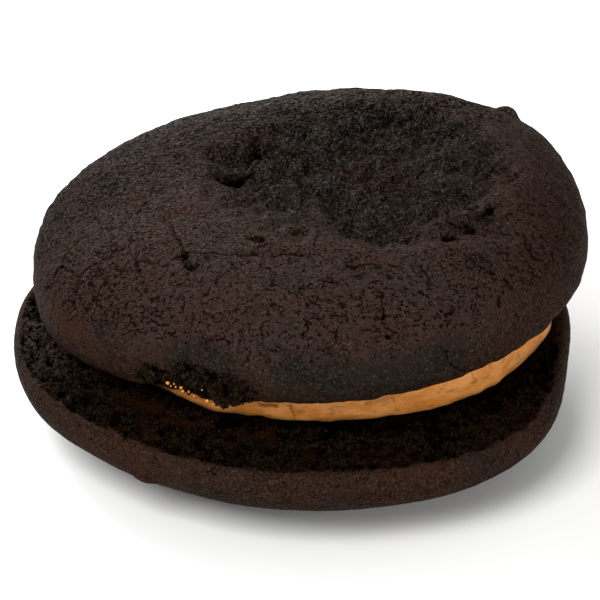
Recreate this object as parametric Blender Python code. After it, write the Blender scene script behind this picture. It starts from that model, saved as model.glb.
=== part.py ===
"""Whoopie pie: two domed chocolate cakes, flat faces inward, with cream filling between them.

Metres, +Z up. The origin is the middle of the flat spot that the pie rests on.
+X is to the right of the pie's front and -Y is its front. The lower cake lies crown down.
The upper cake sits a little back and to the right, and tips up to the right on a wedge of filling.

Each piece starts as a spindle, two cones base to base. A place on the spindle is moved to its
place on the piece: the upper part becomes the dome, a narrow band becomes the rounded edge, and
the rest becomes the flat face. Relief is then raised or sunk along the surface.
"""
import math

import bmesh
import bpy
from mathutils import Euler, Vector, noise

# Lower cake.
LOWER_RADIUS = 0.0450
LOWER_THICKNESS = 0.0156
LOWER_EDGE_HEIGHT = 0.0022
LOWER_EDGE_INSET = 0.0016
LOWER_ROUNDNESS = 2.12
REST_FLAT = 0.0013          # how much of the lower crown is pressed flat where the pie rests

# Upper cake, in its own frame: flat underside at z = 0, crown up.
UPPER_RADIUS = 0.0457
UPPER_THICKNESS = 0.0195
UPPER_EDGE_HEIGHT = 0.0042
UPPER_EDGE_INSET = 0.0031
UPPER_ROUNDNESS = 2.47
UPPER_SHIFT = (0.0032, 0.0090)
UPPER_LIFT = 0.0054         # from the lower cake's face to the middle of the upper underside
UPPER_ROLL = 5.6            # degrees, right side up
UPPER_PITCH = 2.1           # degrees, front up

# Filling.
FILLING_RADIUS = 0.0372
FILLING_CENTRE = (0.0046, 0.0084)
FILLING_BULGE = 0.0011
FILLING_MARGIN = 0.0002     # that the filling keeps inside the lower cake's face
GAP = 0.0003                # between touching pieces

# Unevenness of each outline seen from above: waves round it, share of the radius, turn in degrees.
LOWER_WAVES = ((2, 0.0226, -80), (3, 0.0126, -177), (4, 0.0098, 129), (5, 0.0105, 106), (6, 0.0116, 131))
UPPER_WAVES = ((2, 0.0081, -161), (3, 0.0231, 165), (4, 0.0118, 163), (5, 0.0075, -29), (6, 0.0065, -167))
FILLING_WAVES = ((2, 0.006, 40), (3, 0.010, -60), (5, 0.006, 15))

# Where the dome, the rounded edge and the flat face meet, as shares of the way down the spindle.
DOME_END = 0.60
EDGE_END = 0.70
FILLING_TOP_END = 0.30
FILLING_SIDE_END = 0.70

# The sunken, lumpy middle of the upper cake, in the upper cake's frame.
HOLLOW_CENTRE = (0.0100, -0.0005)
HOLLOW_REACH = (0.0235, 0.0265)
HOLLOW_DEPTH = 0.0011
HOLLOW_LIP = 0.0005
HOLLOW_LUMPS = 0.0009
LUMP_SIZE = 0.0065
# Deeper dents and raised lumps in it: x, y, length, width, depth (below 0 is raised), turn in degrees.
DENTS = (
    (-0.0085, 0.0062, 0.0062, 0.0024, 0.0019, -8),
    (-0.0112, -0.0015, 0.0045, 0.0026, 0.0013, 20),
    (0.0010, 0.0046, 0.0080, 0.0020, 0.0009, -6),
    (0.0086, -0.0020, 0.0100, 0.0028, 0.0008, -58),
    (0.0272, -0.0212, 0.0060, 0.0030, 0.0020, 22),
    (0.0205, -0.0240, 0.0050, 0.0024, 0.0010, -4),
    (0.0110, -0.0240, 0.0060, 0.0026, 0.0008, -12),
    (0.0270, -0.0100, 0.0045, 0.0022, 0.0009, 50),
    (0.0160, 0.0200, 0.0090, 0.0026, 0.0010, -10),
    (-0.0012, -0.0243, 0.0016, 0.0014, 0.0010, 0),
    (0.0040, -0.0100, 0.0080, 0.0050, -0.0006, -50),
    (0.0190, 0.0255, 0.0075, 0.0030, -0.0009, -12),
    (-0.0125, 0.0225, 0.0040, 0.0022, -0.0008, 30),
)

# The torn patch low on the upper cake's front, left of its middle.
TORN_TURNS = (-129, -104)   # degrees round the cake
TORN_TOP = 0.0070
TORN_DEPTH = 0.0007
TORN_NUB_TURN = -108.0
TORN_NUB = (0.0022, 0.0014)  # half width, drop

# Small lumps that stand out: the place they grow from, their radius and how far they stand out.
UPPER_NODULES = (((0.0333, 0.0264, 0.0122), 0.0023, 0.0012),)
LOWER_NODULES = (((-0.0230, -0.0352, 0.0086), 0.0022, 0.0006),)

# Crumb on the lower cake's open face.
CRUMB_SIZE = 0.0021
CRUMB_RELIEF = 0.00045
FACE_DISH = 0.0004          # how far the open face is sunk inside its edge
CRUMB_FADE = 0.0014         # over which the crumb begins, inside the face's edge
BRIDGE = (-0.0364, -0.0095, 0.0018, 0.0012)  # crumb nub under the upper cake: x, y, radius, height

CRUST_SWELL = 0.00035
CRUST_SWELL_SIZE = 0.014

# Longest triangle sides.
FINE_SIDE = 0.0024
CRUST_SIDE = 0.0044
SQUEEZED_SIDE = 0.0034
HIDDEN_SIDE = 0.0100
SPLIT_ROUNDS = 5

FACE_HEIGHT = LOWER_THICKNESS - REST_FLAT


def outline(turn, waves):
    """Share of the radius that the outline reaches in one direction."""
    return 1 + sum(size * math.cos(count * turn - math.radians(start)) for count, size, start in waves)


def smooth_step(value, low, high):
    """0 below low, 1 above high, and a smooth rise between them."""
    share = min(max((value - low) / (high - low), 0), 1)
    return share * share * (3 - 2 * share)


def cake_point(turn, share, sizes):
    """Place on a plain cake that stands crown up on z = 0, share of the way from its crown to its base."""
    radius, thickness, edge_height, edge_inset, roundness, waves = sizes
    reach = radius * outline(turn, waves)
    if share < DOME_END:
        step = share / DOME_END * math.pi / 2
        out = reach * math.sin(step) ** (2 / roundness)
        height = edge_height + (thickness - edge_height) * max(math.cos(step), 0) ** (2 / roundness)
    elif share < EDGE_END:
        step = (share - DOME_END) / (EDGE_END - DOME_END) * math.pi / 2
        out = reach - edge_inset * (1 - math.cos(step))
        height = edge_height * (1 - math.sin(step))
    else:
        out = (reach - edge_inset) * (1 - share) / (1 - EDGE_END)
        height = 0
    return Vector((out * math.cos(turn), out * math.sin(turn), height))


def spindle_place(point):
    """Turn round the spindle, and share of the way from its top to its bottom."""
    return math.atan2(point.y, point.x), (1 - point.z) / 2


def upper_form(place):
    """Plain upper cake, crown up."""
    turn, share = spindle_place(place)
    sizes = (UPPER_RADIUS, UPPER_THICKNESS, UPPER_EDGE_HEIGHT, UPPER_EDGE_INSET, UPPER_ROUNDNESS, UPPER_WAVES)
    return cake_point(turn, share, sizes)


def lower_form(place):
    """Plain lower cake, crown down and pressed flat where it rests."""
    turn, share = spindle_place(place)
    sizes = (LOWER_RADIUS, LOWER_THICKNESS, LOWER_EDGE_HEIGHT, LOWER_EDGE_INSET, LOWER_ROUNDNESS, LOWER_WAVES)
    point = cake_point(turn, 1 - share, sizes)
    return Vector((point.x, point.y, FACE_HEIGHT - min(point.z, FACE_HEIGHT)))


def face_reach(turn):
    """Radius of the lower cake's flat face in one direction."""
    return LOWER_RADIUS * outline(turn, LOWER_WAVES) - LOWER_EDGE_INSET


def upper_pose():
    """Location and rotation of the upper cake."""
    location = Vector((UPPER_SHIFT[0], UPPER_SHIFT[1], FACE_HEIGHT + UPPER_LIFT))
    return location, Euler((-math.radians(UPPER_PITCH), -math.radians(UPPER_ROLL), 0))


def underside_height(x, y):
    """Height of the upper cake's tipped underside above a place on the ground."""
    location, rotation = upper_pose()
    normal = rotation.to_matrix() @ Vector((0, 0, 1))
    return location.z - (normal.x * (x - location.x) + normal.y * (y - location.y)) / normal.z


def filling_reach(turn):
    """Radius of the filling in one direction, no further than the lower cake's face."""
    reach = FILLING_RADIUS * outline(turn, FILLING_WAVES)
    for _ in range(6):
        x = FILLING_CENTRE[0] + (reach + FILLING_BULGE) * math.cos(turn)
        y = FILLING_CENTRE[1] + (reach + FILLING_BULGE) * math.sin(turn)
        reach *= min(1, (face_reach(math.atan2(y, x)) - FILLING_MARGIN) / math.hypot(x, y))
    return reach


def filling_form(place):
    """Wedge of filling between the two flat faces, squeezed out into a bulge."""
    turn, share = spindle_place(place)
    reach = filling_reach(turn)
    if share < FILLING_TOP_END:
        out, level = reach * share / FILLING_TOP_END, 1
    elif share < FILLING_SIDE_END:
        step = (share - FILLING_TOP_END) / (FILLING_SIDE_END - FILLING_TOP_END) * math.pi
        level = (1 + math.cos(step)) / 2
        out = reach + FILLING_BULGE * (1 - abs(2 * level - 1) ** 4)
    else:
        out, level = reach * (1 - share) / (1 - FILLING_SIDE_END), 0
    x = FILLING_CENTRE[0] + out * math.cos(turn)
    y = FILLING_CENTRE[1] + out * math.sin(turn)
    low = FACE_HEIGHT + GAP
    high = underside_height(x, y) - GAP
    return Vector((x, y, low + (high - low) * level))


def outside_filling(point, change):
    """0 under the filling and 1 outside it, with a smooth change over a short way."""
    x, y = point.x - FILLING_CENTRE[0], point.y - FILLING_CENTRE[1]
    away = math.hypot(x, y) - filling_reach(math.atan2(y, x)) - FILLING_BULGE
    return smooth_step(away, 0, change)


def dent_depth(point, dent):
    """Depth of one long dent at a point seen from above."""
    x, y, length, width, depth, turn = dent
    angle = math.radians(turn)
    along = (point.x - x) * math.cos(angle) + (point.y - y) * math.sin(angle)
    across = (point.y - y) * math.cos(angle) - (point.x - x) * math.sin(angle)
    return depth * math.exp(-(along / length) ** 2 - (across / width) ** 2)


def hollow_depth(point):
    """Depth of the sunken middle, with its raised lip, lumps and dents."""
    away = math.hypot((point.x - HOLLOW_CENTRE[0]) / HOLLOW_REACH[0], (point.y - HOLLOW_CENTRE[1]) / HOLLOW_REACH[1])
    away += 0.10 * noise.noise(point / 0.012)
    inside = 1 - smooth_step(away, 0.84, 1.06)
    lip = math.exp(-((away - 1.12) / 0.09) ** 2)
    lumps = noise.noise(point / LUMP_SIZE) + 0.5 * noise.noise(point / (LUMP_SIZE / 2))
    dents = sum(dent_depth(point, dent) for dent in DENTS)
    return inside * (HOLLOW_DEPTH - HOLLOW_LUMPS * lumps) + dents - HOLLOW_LIP * lip


def torn_share(point):
    """1 in the middle of the torn patch, 0 away from it."""
    turn = math.degrees(math.atan2(point.y, point.x)) + 3 * noise.noise(point / 0.003)
    start, end = TORN_TURNS
    sideways = smooth_step(turn, start, start + 5) * (1 - smooth_step(turn, end - 5, end))
    top = TORN_TOP + 0.0015 * noise.noise(point / 0.004)
    return sideways * (1 - smooth_step(point.z, top - 0.0015, top))


def nodule_height(point, nodules):
    """How far small lumps stand out at a point."""
    height = 0
    for place, radius, rise in nodules:
        away = (point - Vector(place)).length / radius
        height += rise * max(1 - away * away, 0)
    return height


def upper_relief(point):
    """How far the upper cake's surface stands out from its plain form."""
    above_edge = smooth_step(point.z, 0, UPPER_EDGE_HEIGHT / 4)
    swell = CRUST_SWELL * noise.noise(point / CRUST_SWELL_SIZE)
    on_top = smooth_step(point.z, UPPER_EDGE_HEIGHT, UPPER_THICKNESS * 0.6)
    torn = torn_share(point)
    crumb = CRUMB_RELIEF * noise.noise(point / CRUMB_SIZE)
    relief = swell - hollow_depth(point) * on_top + nodule_height(point, UPPER_NODULES)
    return above_edge * (relief + torn * (crumb - TORN_DEPTH))


def torn_nub(point):
    """How far torn crumb hangs down below the upper cake's edge."""
    turn = math.degrees(math.atan2(point.y, point.x))
    sideways = (turn - TORN_NUB_TURN) * math.radians(1) * UPPER_RADIUS / TORN_NUB[0]
    outward = smooth_step(math.hypot(point.x, point.y), UPPER_RADIUS - 0.0045, UPPER_RADIUS - 0.0020)
    low = 1 - smooth_step(point.z, 0.0010, UPPER_EDGE_HEIGHT)
    return TORN_NUB[1] * math.exp(-sideways * sideways) * outward * low


def lower_relief(point):
    """How far the lower cake's surface stands out from its plain form."""
    above_rest = smooth_step(point.z, 0, LOWER_THICKNESS / 4)
    swell = above_rest * CRUST_SWELL * noise.noise(point / CRUST_SWELL_SIZE)
    if point.z < FACE_HEIGHT - CRUMB_RELIEF / 10:
        return swell + nodule_height(point, LOWER_NODULES)
    inside = face_reach(math.atan2(point.y, point.x)) - math.hypot(point.x, point.y)
    crumb = CRUMB_RELIEF * (noise.noise(point / CRUMB_SIZE) + 0.6 * noise.noise(point / (CRUMB_SIZE / 2)))
    x, y, radius, height = BRIDGE
    bridge = height * max(1 - math.hypot(point.x - x, point.y - y) / radius, 0)
    crumbly = smooth_step(inside, 0, CRUMB_FADE)
    return outside_filling(point, CRUMB_SIZE) * (swell + crumbly * (crumb - FACE_DISH + bridge))


def filling_relief(point):
    """How far the filling's side stands out from its plain form."""
    low = FACE_HEIGHT + GAP
    high = underside_height(point.x, point.y) - GAP
    level = (point.z - low) / (high - low)
    on_side = smooth_step(level, 0.02, 0.25) * (1 - smooth_step(level, 0.75, 0.98))
    return on_side * 0.0004 * noise.noise(Vector((point.x, point.y, point.z * 2)) / 0.006)


def upper_side(point):
    """Longest triangle side on the upper cake near a point."""
    if point.z <= 0:
        return HIDDEN_SIDE
    torn = torn_share(point) > 0
    dented = sum(abs(dent_depth(point, dent)) for dent in DENTS) > 0.0006
    nodule = nodule_height(point, UPPER_NODULES) > 0
    return FINE_SIDE if torn or dented or nodule else CRUST_SIDE


def lower_side(point):
    """Longest triangle side on the lower cake near a point."""
    if point.z < FACE_HEIGHT:
        flat = point.z <= 0
        nodule = nodule_height(point, LOWER_NODULES) > 0
        return HIDDEN_SIDE if flat else FINE_SIDE if nodule else CRUST_SIDE
    shows = outside_filling(point, CRUMB_SIZE) > 0 and point.y < LOWER_RADIUS * 0.6
    return FINE_SIDE if shows else HIDDEN_SIDE


def filling_side(point):
    """Longest triangle side on the filling near a point."""
    away = math.hypot(point.x - FILLING_CENTRE[0], point.y - FILLING_CENTRE[1])
    return SQUEEZED_SIDE if away > FILLING_RADIUS * 0.97 else HIDDEN_SIDE


def spindle_mesh():
    """Two cones base to base, with evenly spaced rings."""
    mesh = bmesh.new()
    bmesh.ops.create_uvsphere(mesh, u_segments=16, v_segments=10, radius=1)
    bmesh.ops.triangulate(mesh, faces=mesh.faces)
    for vertex in mesh.verts:
        vertex.co.z = 1 - 2 * math.acos(min(max(vertex.co.z, -1), 1)) / math.pi
        out_to_spindle(vertex)
    return mesh


def out_to_spindle(vertex):
    """Push a point out to the spindle, level with where it is, so that rings stay rings."""
    flat = math.hypot(vertex.co.x, vertex.co.y)
    if flat > 0:
        grow = (1 - abs(vertex.co.z)) / flat
        vertex.co.x *= grow
        vertex.co.y *= grow


def split_long_sides(mesh, form, longest):
    """Split the spindle's edges that are longer on the piece than their limit there."""
    for _ in range(SPLIT_ROUNDS):
        place = {vertex: form(vertex.co) for vertex in mesh.verts}
        long_edges = []
        for edge in mesh.edges:
            start, end = place[edge.verts[0]], place[edge.verts[1]]
            if (start - end).length > longest((start + end) / 2):
                long_edges.append(edge)
        bmesh.ops.subdivide_edges(mesh, edges=long_edges, cuts=1)
        for vertex in mesh.verts:
            if vertex not in place:
                out_to_spindle(vertex)
        bmesh.ops.triangulate(mesh, faces=mesh.faces)


def plain_mesh(form, longest):
    """Spindle shaped into the plain piece, with triangles small enough for its relief."""
    mesh = spindle_mesh()
    split_long_sides(mesh, form, longest)
    for vertex in mesh.verts:
        vertex.co = form(vertex.co)
    mesh.normal_update()
    return mesh


def raise_relief(mesh, relief):
    """Move each point along its normal by the relief there."""
    moves = [(vertex, vertex.normal * relief(vertex.co)) for vertex in mesh.verts]
    for vertex, move in moves:
        vertex.co += move


def new_material(name, colour, roughness):
    """Plain Principled material."""
    material = bpy.data.materials.new(name)
    material.use_nodes = True
    shader = material.node_tree.nodes["Principled BSDF"]
    shader.inputs["Base Color"].default_value = (*colour, 1)
    shader.inputs["Roughness"].default_value = roughness
    shader.inputs["Metallic"].default_value = 0
    return material


def new_object(name, mesh, material):
    """Finished mesh as a named, smooth-shaded object."""
    data = bpy.data.meshes.new(name)
    mesh.to_mesh(data)
    mesh.free()
    data.shade_smooth()
    data.materials.append(material)
    piece = bpy.data.objects.new(name, data)
    bpy.context.scene.collection.objects.link(piece)
    return piece


def build_lower_cake():
    """Cake that lies crown down, with its crumb open round the filling."""
    mesh = plain_mesh(lower_form, lower_side)
    raise_relief(mesh, lower_relief)
    for vertex in mesh.verts:
        vertex.co.z = max(vertex.co.z, 0)
    return new_object("bottom_cake", mesh, new_material("lower_crust", (0.020, 0.012, 0.009), 0.75))


def build_filling():
    """Cream filling, thicker to the right."""
    mesh = plain_mesh(filling_form, filling_side)
    raise_relief(mesh, filling_relief)
    return new_object("filling", mesh, new_material("cream", (0.55, 0.26, 0.085), 0.5))


def build_upper_cake():
    """Cake that lies crown up, with its sunken middle and torn edge."""
    mesh = plain_mesh(upper_form, upper_side)
    raise_relief(mesh, upper_relief)
    for vertex in mesh.verts:
        vertex.co.z -= torn_nub(vertex.co)
    piece = new_object("top_cake", mesh, new_material("upper_crust", (0.022, 0.015, 0.012), 0.7))
    piece.location, piece.rotation_euler = upper_pose()
    return piece


def main():
    """Empty the scene and build the pie."""
    for item in list(bpy.data.objects):
        bpy.data.objects.remove(item, do_unlink=True)
    build_lower_cake()
    build_filling()
    build_upper_cake()


main()
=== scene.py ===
import math
import random

import bmesh
import bpy
import numpy as np
from mathutils import Euler, Matrix, Vector, noise


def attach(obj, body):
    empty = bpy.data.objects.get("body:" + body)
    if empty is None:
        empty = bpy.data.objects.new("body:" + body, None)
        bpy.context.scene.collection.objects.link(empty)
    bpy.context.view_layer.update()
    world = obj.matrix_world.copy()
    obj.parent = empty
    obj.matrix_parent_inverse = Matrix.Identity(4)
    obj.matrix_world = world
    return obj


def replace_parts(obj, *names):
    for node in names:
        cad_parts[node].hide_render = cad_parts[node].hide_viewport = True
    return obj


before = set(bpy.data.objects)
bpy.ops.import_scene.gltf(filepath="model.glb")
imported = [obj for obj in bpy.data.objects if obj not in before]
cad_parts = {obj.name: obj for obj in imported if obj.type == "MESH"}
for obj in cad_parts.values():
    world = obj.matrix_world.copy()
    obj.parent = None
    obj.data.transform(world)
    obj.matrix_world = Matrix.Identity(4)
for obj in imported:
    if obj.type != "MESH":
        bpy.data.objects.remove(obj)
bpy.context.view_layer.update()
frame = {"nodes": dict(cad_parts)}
print("frame loaded:", ", ".join(frame["nodes"]))
noise.seed_set(7)       # noise vectors follow the clock until a seed is set

# Everything below is in metres and degrees, in the frame's own axes.
# The camera stands where the photo was taken from: 30 degrees up, almost half a metre away.
camera = {
    "elevation": 30,
    "distance": 0.48,
    "lookAt": (0.000576, 0.000134, 0.018933),
    "lens": 180.95,
    "sensor": 36,
    "clipStart": 0.01,
    "imageSize": 600,
    "rayFrom": 0.4,        # a ray through a pixel is followed from here to there
    "rayTo": 0.56,
    "raySteps": 4000,
}
bpy.context.scene.view_settings.view_transform = "Standard"


def addObject(name, data, place=(0, 0, 0), behind=None):
    # A camera or a lamp looks away from the direction behind it.
    item = bpy.data.objects.new(name, data)
    item.location = place
    if behind is not None:
        item.rotation_euler = behind.to_track_quat("Z", "Y").to_euler()
    bpy.context.scene.collection.objects.link(item)
    return item


def cameraAxes():
    tilt = math.radians(camera["elevation"])
    forward = Vector((0, math.cos(tilt), -math.sin(tilt)))
    up = Vector((0, math.sin(tilt), math.cos(tilt)))
    place = Vector(camera["lookAt"]) - forward * camera["distance"]
    return place, forward, up


def addCamera():
    place, forward, _ = cameraAxes()
    lens = bpy.data.cameras.new("camera")
    lens.lens = camera["lens"]
    lens.sensor_width = camera["sensor"]
    lens.clip_start = camera["clipStart"]
    bpy.context.scene.camera = addObject("camera", lens, place, -forward)


def photoRay(px, py):
    # Points along the ray from the camera through a pixel of the 600 by 600 photo.
    place, forward, up = cameraAxes()
    perPixel = camera["sensor"] / camera["lens"] / camera["imageSize"]
    half = camera["imageSize"] / 2
    ray = forward + Vector((1, 0, 0)) * (px - half) * perPixel + up * (half - py) * perPixel
    steps = np.linspace(camera["rayFrom"], camera["rayTo"], camera["raySteps"])[:, None]
    return np.array(place) + steps * np.array(ray)


addCamera()

# The two cakes and the filling have the same forms as the frame's solids, on a finer mesh.
# Waves in an outline: how many go round, size, turn of the first crest.
lowerCake = {
    "radius": 0.045,
    "thickness": 0.0156,
    "edgeHeight": 0.0022,
    "edgeInset": 0.0016,
    "roundness": 2.12,
    "restFlat": 0.0013,     # pressed flat where the pie rests
    "waves": ((2, 0.0226, -80), (3, 0.0126, -177), (4, 0.0098, 129), (5, 0.0105, 106), (6, 0.0116, 131)),
    "faceDish": 0.0004,
    "bump": (-0.023, -0.0352, 0.0086, 0.0022, 0.0006),     # x, y, z, radius, rise
    "bridge": (-0.0364, -0.0095, 0.0018, 0.0012),           # x, y, radius, rise
}
upperCake = {
    "radius": 0.0457,
    "thickness": 0.0195,
    "edgeHeight": 0.0042,
    "edgeInset": 0.0031,
    "roundness": 2.47,
    "waves": ((2, 0.0081, -161), (3, 0.0231, 165), (4, 0.0118, 163), (5, 0.0075, -29), (6, 0.0065, -167)),
    "shift": (0.0032, 0.009),
    "lift": 0.0054,
    "roll": 5.6,
    "pitch": 2.1,
    "nodule": (0.0333, 0.0264, 0.0122, 0.0023, 0.0012),
}
filling = {
    "radius": 0.0372,
    "centre": (0.0046, 0.0084),
    "bulge": 0.0011,
    "margin": 0.0002,
    "gap": 0.0003,
    "waves": ((2, 0.006, 40), (3, 0.01, -60), (5, 0.006, 15)),
    "topEnd": 0.3,
    "sideEnd": 0.7,
}
crustSwell = (0.00035, 0.014, 0)    # height, size and shift of the noise
domeEnd = 0.6      # share of the way from crown to base where the dome gives way to the edge
edgeEnd = 0.7      # and the edge to the flat face
faceHeight = lowerCake["thickness"] - lowerCake["restFlat"]


def smoothStep(value, low, high):
    share = np.clip((value - low) / (high - low), 0, 1)
    return share * share * (3 - 2 * share)


def bell(value):
    return np.exp(-value ** 2)


def noiseAt(points, size, shift=0):
    return np.array([noise.noise(point) for point in (points / size + shift).tolist()])


def bumpy(points, *waves):
    # Noises added up, each by its height, size and shift.
    return sum(height * noiseAt(points, size, shift) for height, size, shift in waves)


def drift(points, *moves):
    # The points, moved a little by noise of each size and reach, so that what is drawn on them wanders.
    for size, reach in moves:
        vectors = [noise.noise_vector(point) for point in (points / size).tolist()]
        points = points + reach * np.array(vectors)
    return points


def turnOf(points):
    return np.arctan2(points[:, 1], points[:, 0])


def outOf(points):
    return np.hypot(points[:, 0], points[:, 1])


def placedBy(matrix, points):
    matrix = np.array(matrix)
    return points @ matrix[:3, :3].T + matrix[:3, 3]


def outline(turn, waves):
    return 1 + sum(size * np.cos(count * turn - math.radians(start)) for count, size, start in waves)


def cakePoints(turn, share, cake):
    # A plain cake standing crown up on z = 0, share of the way from its crown to its base.
    reach = cake["radius"] * outline(turn, cake["waves"])
    power = 2 / cake["roundness"]
    domeStep = np.clip(share / domeEnd, 0, 1) * math.pi / 2
    edgeStep = np.clip((share - domeEnd) / (edgeEnd - domeEnd), 0, 1) * math.pi / 2
    domeOut = reach * np.sin(domeStep) ** power
    rise = cake["thickness"] - cake["edgeHeight"]
    domeUp = cake["edgeHeight"] + rise * np.maximum(np.cos(domeStep), 0) ** power
    edgeOut = reach - cake["edgeInset"] * (1 - np.cos(edgeStep))
    edgeUp = cake["edgeHeight"] * (1 - np.sin(edgeStep))
    faceOut = (reach - cake["edgeInset"]) * np.clip(1 - share, 0, 1) / (1 - edgeEnd)
    out = np.where(share < domeEnd, domeOut, np.where(share < edgeEnd, edgeOut, faceOut))
    height = np.where(share < domeEnd, domeUp, np.where(share < edgeEnd, edgeUp, 0))
    return np.stack((out * np.cos(turn), out * np.sin(turn), height), axis=1)


def upperForm(turn, share):
    return cakePoints(turn, share, upperCake)


def lowerForm(turn, share):
    points = cakePoints(turn, 1 - share, lowerCake)
    points[:, 2] = faceHeight - np.minimum(points[:, 2], faceHeight)
    return points


def faceReach(turn):
    return lowerCake["radius"] * outline(turn, lowerCake["waves"]) - lowerCake["edgeInset"]


def upperPose():
    turned = Euler((-math.radians(upperCake["pitch"]), -math.radians(upperCake["roll"]), 0)).to_matrix()
    return Matrix.Translation((*upperCake["shift"], faceHeight + upperCake["lift"])) @ turned.to_4x4()


def fillingReach(turn):
    reach = filling["radius"] * outline(turn, filling["waves"])
    for _ in range(6):
        x = filling["centre"][0] + (reach + filling["bulge"]) * np.cos(turn)
        y = filling["centre"][1] + (reach + filling["bulge"]) * np.sin(turn)
        room = faceReach(np.arctan2(y, x)) - filling["margin"]
        reach = reach * np.minimum(1, room / np.hypot(x, y))
    return reach


def fillingLevels(x, y):
    # The filling's underside, and its top along the tipped base of the upper cake.
    pose = upperPose()
    normal = pose.to_3x3() @ Vector((0, 0, 1))
    place = pose.translation
    top = place.z - (normal.x * (x - place.x) + normal.y * (y - place.y)) / normal.z
    return faceHeight + filling["gap"], top - filling["gap"]


def fillingForm(turn, share):
    reach = fillingReach(turn)
    topEnd, sideEnd = filling["topEnd"], filling["sideEnd"]
    step = np.clip((share - topEnd) / (sideEnd - topEnd), 0, 1) * math.pi
    level = (1 + np.cos(step)) / 2
    sideOut = reach + filling["bulge"] * (1 - np.abs(2 * level - 1) ** 4)
    topOut = reach * np.clip(share, 0, 1) / topEnd
    baseOut = reach * np.clip(1 - share, 0, 1) / (1 - sideEnd)
    out = np.where(share < topEnd, topOut, np.where(share < sideEnd, sideOut, baseOut))
    x = filling["centre"][0] + out * np.cos(turn)
    y = filling["centre"][1] + out * np.sin(turn)
    low, high = fillingLevels(x, y)
    return np.stack((x, y, low + (high - low) * level), axis=1)


def fillingRoom(points):
    # Distance from the filling's centre, and how far the filling reaches that way.
    apart = points - (*filling["centre"], 0)
    return outOf(apart), fillingReach(turnOf(apart))


def outsideFilling(points, change):
    away, reach = fillingRoom(points)
    return smoothStep(away - reach - filling["bulge"], 0, change)


# Meshing. A spindle, two cones base to base, is split until its edges are short enough on the piece.
# Each point keeps its place on the spindle and the edge length that is wanted there.
def setPlaces(vertices, layers, places, form, edgeLength):
    out = outOf(places)
    grow = np.where(out > 0, (1 - np.abs(places[:, 2])) / np.maximum(out, 1e-12), 0)
    places = places * np.stack((grow, grow, np.ones(len(places))), axis=1)
    points = form(turnOf(places), (1 - places[:, 2]) / 2)
    wanted = edgeLength(points)
    for vertex, place, point, length in zip(vertices, places.tolist(), points.tolist(), wanted.tolist()):
        vertex[layers[0]] = place
        vertex[layers[1]] = length
        vertex.co = point


def spindleMesh(form, edgeLength, rounds):
    mesh = bmesh.new()
    layers = (mesh.verts.layers.float_vector.new("spindle"), mesh.verts.layers.float.new("wanted"))
    bmesh.ops.create_grid(mesh, x_segments=24, y_segments=20, size=1)
    for vertex in mesh.verts:
        turn, rise = math.pi * vertex.co.x, vertex.co.y
        vertex.co = ((1 - abs(rise)) * math.cos(turn), (1 - abs(rise)) * math.sin(turn), rise)
    bmesh.ops.remove_doubles(mesh, verts=mesh.verts, dist=0.0001)
    bmesh.ops.triangulate(mesh, faces=mesh.faces)
    places = np.array([vertex.co for vertex in mesh.verts])
    setPlaces(list(mesh.verts), layers, places, form, edgeLength)
    for _ in range(rounds):
        if not splitLongEdges(mesh, layers, form, edgeLength):
            break
    mesh.verts.layers.float_vector.remove(mesh.verts.layers.float_vector["spindle"])
    mesh.verts.layers.float.remove(mesh.verts.layers.float["wanted"])
    mesh.normal_update()
    return mesh


def splitLongEdges(mesh, layers, form, edgeLength):
    mesh.verts.index_update()
    points = np.array([vertex.co for vertex in mesh.verts])
    wanted = np.array([vertex[layers[1]] for vertex in mesh.verts])
    edges = list(mesh.edges)
    pairs = np.array([(edge.verts[0].index, edge.verts[1].index) for edge in edges])
    lengths = np.linalg.norm(points[pairs[:, 0]] - points[pairs[:, 1]], axis=1)
    tooLong = lengths > (wanted[pairs[:, 0]] + wanted[pairs[:, 1]]) / 2
    longEdges = [edges[index] for index in np.nonzero(tooLong)[0]]
    if not longEdges:
        return False
    count = len(mesh.verts)
    bmesh.ops.subdivide_edges(mesh, edges=longEdges, cuts=1)
    mesh.verts.ensure_lookup_table()
    fresh = [mesh.verts[index] for index in range(count, len(mesh.verts))]
    places = np.array([vertex[layers[0]] for vertex in fresh])
    setPlaces(fresh, layers, places, form, edgeLength)
    bmesh.ops.triangulate(mesh, faces=[face for face in mesh.faces if len(face.verts) > 3])
    return True


def readPoints(mesh):
    points = np.array([vertex.co for vertex in mesh.verts])
    normals = np.array([vertex.normal for vertex in mesh.verts])
    return points, normals


def addPiece(name, mesh, material):
    data = bpy.data.meshes.new(name)
    mesh.to_mesh(data)
    mesh.free()
    data.shade_smooth()
    data.materials.append(material)
    piece = addObject(name, data)
    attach(piece, "root")
    print(name, "triangles:", sum(len(face.vertices) - 2 for face in data.polygons))
    return piece


def finishPiece(name, node, mesh, points, marks, material, pose=None):
    # Sets the final points, stores the marks that the material reads, and hands the piece to the frame.
    for vertex, point in zip(mesh.verts, points.tolist()):
        vertex.co = point
    for mark in marks:
        mesh.verts.layers.float.new(mark)
    for mark, values in marks.items():
        layer = mesh.verts.layers.float[mark]
        for vertex, value in zip(mesh.verts, values.tolist()):
            vertex[layer] = value
    if pose is not None:
        bmesh.ops.transform(mesh, matrix=pose, verts=mesh.verts)
    mesh.normal_update()
    settled = readPoints(mesh)
    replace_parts(addPiece(name, mesh, material), node)
    return settled


def lump(points, shape):
    x, y, z, radius, rise = shape
    away = np.linalg.norm(points - (x, y, z), axis=1) / radius
    return rise * np.maximum(1 - away * away, 0)


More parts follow.
